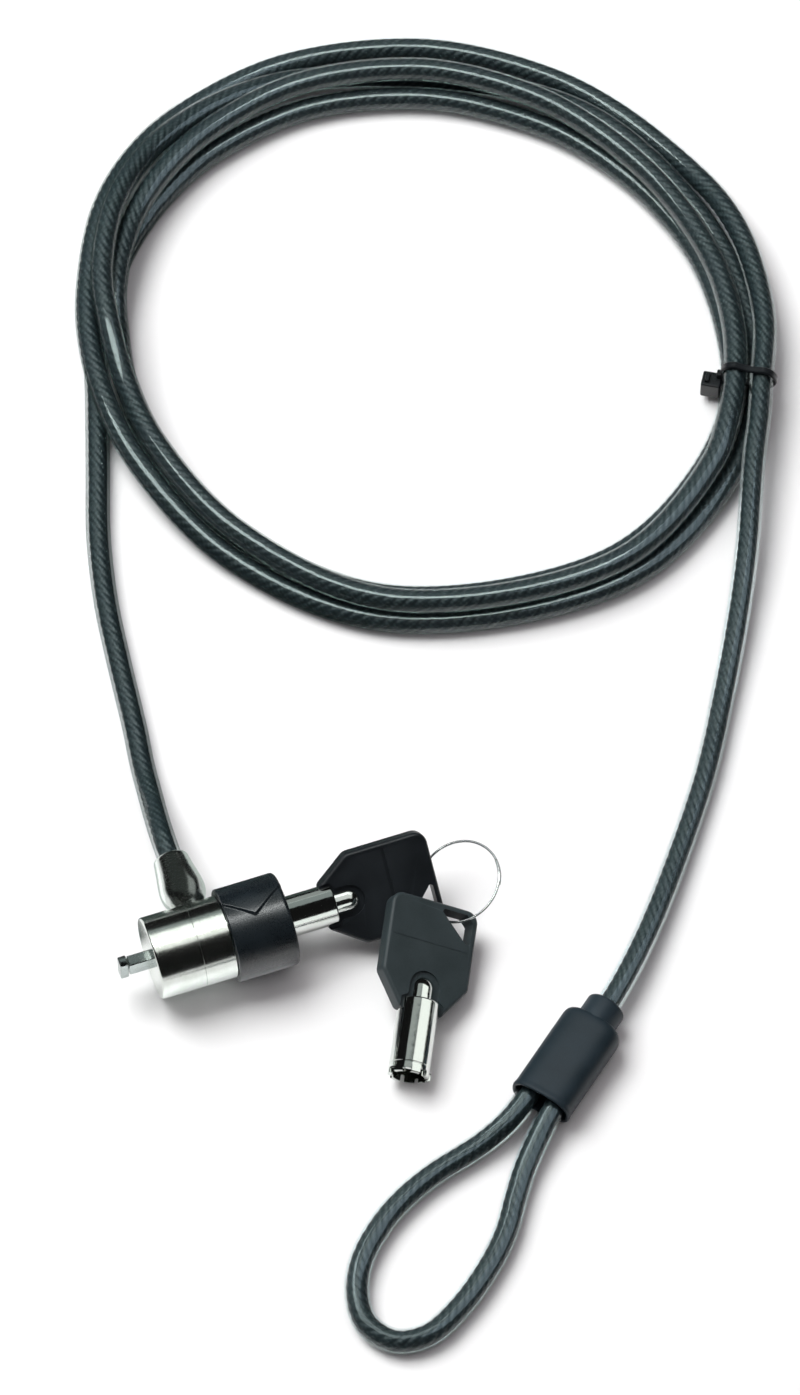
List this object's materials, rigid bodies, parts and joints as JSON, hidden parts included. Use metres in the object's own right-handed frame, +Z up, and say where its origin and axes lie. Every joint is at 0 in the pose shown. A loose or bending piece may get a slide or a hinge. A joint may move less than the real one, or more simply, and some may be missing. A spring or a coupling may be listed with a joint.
{
  "type": "laptop cable lock",
  "caption": "Coiled cable lock for a laptop: tubular key cylinder with a T-bar nose and swivelling cable band, loop eye at the far end, and keys on a wire ring.",
  "frame": {"origin": "middle of the lock head, keys and ring taken together, on the surface that they lie on", "axes": "+X along the lock's barrel from the T-bar nose to the key, +Y towards the coil, +Z up"},
  "size_m": [0.1986, 0.3205, 0.0205],
  "materials": {
    "nickel": "satin nickel plate",
    "nickel_band": "satin nickel plate",
    "ferrule_chrome": "polished",
    "collar_plastic": "satin",
    "bezel_metal": "turned",
    "guide_steel": "satin",
    "brass": "turned",
    "pin_brass": "turned",
    "spring_steel": "wire drawn",
    "key_nickel": "polished nickel plate",
    "bow_plastic": "fine moulded grain",
    "ring_steel": "polished wire",
    "cable": "clear jacket over a dark rope",
    "sleeve_plastic": "satin",
    "crimp_aluminium": "as pressed",
    "tie_nylon": "satin"
  },
  "bodies": {
    "root": {"swivel_band": "nickel_band", "cable_ferrule": "ferrule_chrome", "cable_stop": "spring_steel", "cable_lead_lock": "cable", "cable_coil": "cable", "cable_lead_loop": "cable", "cable_loop": "cable", "loop_sleeve": "sleeve_plastic", "loop_crimp": "crimp_aluminium", "coil_tie": "tie_nylon"},
    "lock_housing": {"front_barrel": "nickel", "rear_collar": "collar_plastic", "keyway_bezel": "bezel_metal", "slot_guide": "guide_steel", "cylinder_housing": "brass", "driver_pins": "pin_brass", "pin_springs": "spring_steel", "retaining_pin": "spring_steel"},
    "plug": {"lock_plug": "brass", "t_bar": "guide_steel", "key_pins": "pin_brass", "spindle_clip": "spring_steel"},
    "key_a": {"key_a_blade": "key_nickel", "key_a_head": "bow_plastic"},
    "ring": {"key_ring": "ring_steel"},
    "key_b": {"key_b_blade": "key_nickel", "key_b_head": "bow_plastic"}
  },
  "joints": [
    {"name": "housing_swivel", "type": "hinge", "parent": "root", "child": "lock_housing", "pos_m": [-0.02227, 0.01683, 0.01025], "axis": [1, 0, 0], "continuous": true},
    {"name": "key_turn", "type": "hinge", "parent": "lock_housing", "child": "plug", "pos_m": [-0.01527, 0.01683, 0.01025], "axis": [-1, 0, 0], "range_deg": [0, 90]},
    {"name": "key_withdraw", "type": "slide", "parent": "plug", "child": "key_a", "axis": [1, 0, 0], "range_m": [0, 0.012]},
    {"name": "ring_feed", "type": "hinge", "parent": "key_a", "child": "ring", "pos_m": [0.03333, 0.01353, 0.00945], "axis": [-0.3907, 0, 0.9205], "range_deg": [0, 12]},
    {"name": "key_b_swing", "type": "hinge", "parent": "ring", "child": "key_b", "pos_m": [0.0299, 0.005, 0.008], "axis": [0.8435, -0.4003, 0.3581], "range_deg": [0, 45]}
  ]
}
